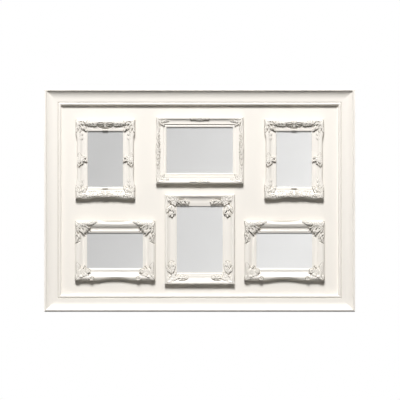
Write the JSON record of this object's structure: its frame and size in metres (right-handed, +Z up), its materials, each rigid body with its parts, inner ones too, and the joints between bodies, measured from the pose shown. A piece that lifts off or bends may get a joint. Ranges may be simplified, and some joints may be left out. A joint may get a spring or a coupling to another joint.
{
  "type": "collage picture frame",
  "caption": "Landscape wall frame with a scooped moulding round a panel that carries ornate small frames, each with glass, backboard and turn buttons.",
  "frame": {"origin": "middle of the wall plane, which the four bumpers' faces share", "axes": "+X to the right as the frame is seen from the front, +Y into the wall, +Z up; the front faces -Y"},
  "size_m": [0.82, 0.041, 0.589],
  "materials": {
    "cream_moulding": "satin cream paint on wood",
    "cream_panel": "matt cream paint on board",
    "cream_casting": "satin cream paint on cast resin",
    "picture_glass": "clear float glass",
    "photo_paper": "plain grey card",
    "backboard_brown": "bare hardboard",
    "bright_steel": "zinc plated",
    "bumper_rubber": "matt"
  },
  "bodies": {
    "root": {"top_rail": "cream_moulding", "bottom_rail": "cream_moulding", "left_rail": "cream_moulding", "right_rail": "cream_moulding", "corner_nails": "bright_steel", "backing_panel": "cream_panel", "panel_points": "bright_steel", "frame_screws": "bright_steel", "turn_button_screws": "bright_steel", "left_hanger_strap": "bright_steel", "right_hanger_strap": "bright_steel", "hanger_screws": "bright_steel", "wall_bumpers": "bumper_rubber", "upper_left_frame": "cream_casting", "upper_left_glass": "picture_glass", "upper_left_photo": "photo_paper", "upper_left_backboard": "backboard_brown", "lower_left_frame": "cream_casting", "lower_left_glass": "picture_glass", "lower_left_photo": "photo_paper", "lower_left_backboard": "backboard_brown", "upper_centre_frame": "cream_casting", "upper_centre_glass": "picture_glass", "upper_centre_photo": "photo_paper", "upper_centre_backboard": "backboard_brown", "lower_centre_frame": "cream_casting", "lower_centre_glass": "picture_glass", "lower_centre_photo": "photo_paper", "lower_centre_backboard": "backboard_brown", "upper_right_frame": "cream_casting", "upper_right_glass": "picture_glass", "upper_right_photo": "photo_paper", "upper_right_backboard": "backboard_brown", "lower_right_frame": "cream_casting", "lower_right_glass": "picture_glass", "lower_right_photo": "photo_paper", "lower_right_backboard": "backboard_brown"},
    "upper_left_turn_button_1": {"upper_left_turn_button_1": "bright_steel"},
    "upper_left_turn_button_2": {"upper_left_turn_button_2": "bright_steel"},
    "lower_left_turn_button_1": {"lower_left_turn_button_1": "bright_steel"},
    "lower_left_turn_button_2": {"lower_left_turn_button_2": "bright_steel"},
    "upper_centre_turn_button_1": {"upper_centre_turn_button_1": "bright_steel"},
    "upper_centre_turn_button_2": {"upper_centre_turn_button_2": "bright_steel"},
    "lower_centre_turn_button_1": {"lower_centre_turn_button_1": "bright_steel"},
    "lower_centre_turn_button_2": {"lower_centre_turn_button_2": "bright_steel"},
    "upper_right_turn_button_1": {"upper_right_turn_button_1": "bright_steel"},
    "upper_right_turn_button_2": {"upper_right_turn_button_2": "bright_steel"},
    "lower_right_turn_button_1": {"lower_right_turn_button_1": "bright_steel"},
    "lower_right_turn_button_2": {"lower_right_turn_button_2": "bright_steel"},
    "left_d_ring": {"left_d_ring": "bright_steel"},
    "right_d_ring": {"right_d_ring": "bright_steel"}
  },
  "joints": [
    {"name": "upper_left_turn_button_1_swivel", "type": "hinge", "parent": "root", "child": "upper_left_turn_button_1", "pos_m": [-0.3067, -0.0224, 0.1083], "axis": [0, 1, 0], "range_deg": [-90, 90]},
    {"name": "upper_left_turn_button_2_swivel", "type": "hinge", "parent": "root", "child": "upper_left_turn_button_2", "pos_m": [-0.1917, -0.0224, 0.1083], "axis": [0, 1, 0], "range_deg": [-90, 90]},
    {"name": "lower_left_turn_button_1_swivel", "type": "hinge", "parent": "root", "child": "lower_left_turn_button_1", "pos_m": [-0.306, -0.0224, -0.133], "axis": [0, 1, 0], "range_deg": [-90, 90]},
    {"name": "lower_left_turn_button_2_swivel", "type": "hinge", "parent": "root", "child": "lower_left_turn_button_2", "pos_m": [-0.141, -0.0224, -0.133], "axis": [0, 1, 0], "range_deg": [-90, 90]},
    {"name": "upper_centre_turn_button_1_swivel", "type": "hinge", "parent": "root", "child": "upper_centre_turn_button_1", "pos_m": [-0.0955, -0.0224, 0.1319], "axis": [0, 1, 0], "range_deg": [-90, 90]},
    {"name": "upper_centre_turn_button_2_swivel", "type": "hinge", "parent": "root", "child": "upper_centre_turn_button_2", "pos_m": [0.0955, -0.0224, 0.1319], "axis": [0, 1, 0], "range_deg": [-90, 90]},
    {"name": "lower_centre_turn_button_1_swivel", "type": "hinge", "parent": "root", "child": "lower_centre_turn_button_1", "pos_m": [-0.07, -0.0224, -0.1032], "axis": [0, 1, 0], "range_deg": [-90, 90]},
    {"name": "lower_centre_turn_button_2_swivel", "type": "hinge", "parent": "root", "child": "lower_centre_turn_button_2", "pos_m": [0.07, -0.0224, -0.1032], "axis": [0, 1, 0], "range_deg": [-90, 90]},
    {"name": "upper_right_turn_button_1_swivel", "type": "hinge", "parent": "root", "child": "upper_right_turn_button_1", "pos_m": [0.1917, -0.0224, 0.1083], "axis": [0, 1, 0], "range_deg": [-90, 90]},
    {"name": "upper_right_turn_button_2_swivel", "type": "hinge", "parent": "root", "child": "upper_right_turn_button_2", "pos_m": [0.3067, -0.0224, 0.1083], "axis": [0, 1, 0], "range_deg": [-90, 90]},
    {"name": "lower_right_turn_button_1_swivel", "type": "hinge", "parent": "root", "child": "lower_right_turn_button_1", "pos_m": [0.141, -0.0224, -0.133], "axis": [0, 1, 0], "range_deg": [-90, 90]},
    {"name": "lower_right_turn_button_2_swivel", "type": "hinge", "parent": "root", "child": "lower_right_turn_button_2", "pos_m": [0.306, -0.0224, -0.133], "axis": [0, 1, 0], "range_deg": [-90, 90]},
    {"name": "left_d_ring_swing", "type": "hinge", "parent": "root", "child": "left_d_ring", "pos_m": [-0.392, -0.0035, 0.15], "axis": [1, 0, 0], "range_deg": [0, 180]},
    {"name": "right_d_ring_swing", "type": "hinge", "parent": "root", "child": "right_d_ring", "pos_m": [0.392, -0.0035, 0.15], "axis": [1, 0, 0], "range_deg": [0, 180]}
  ]
}
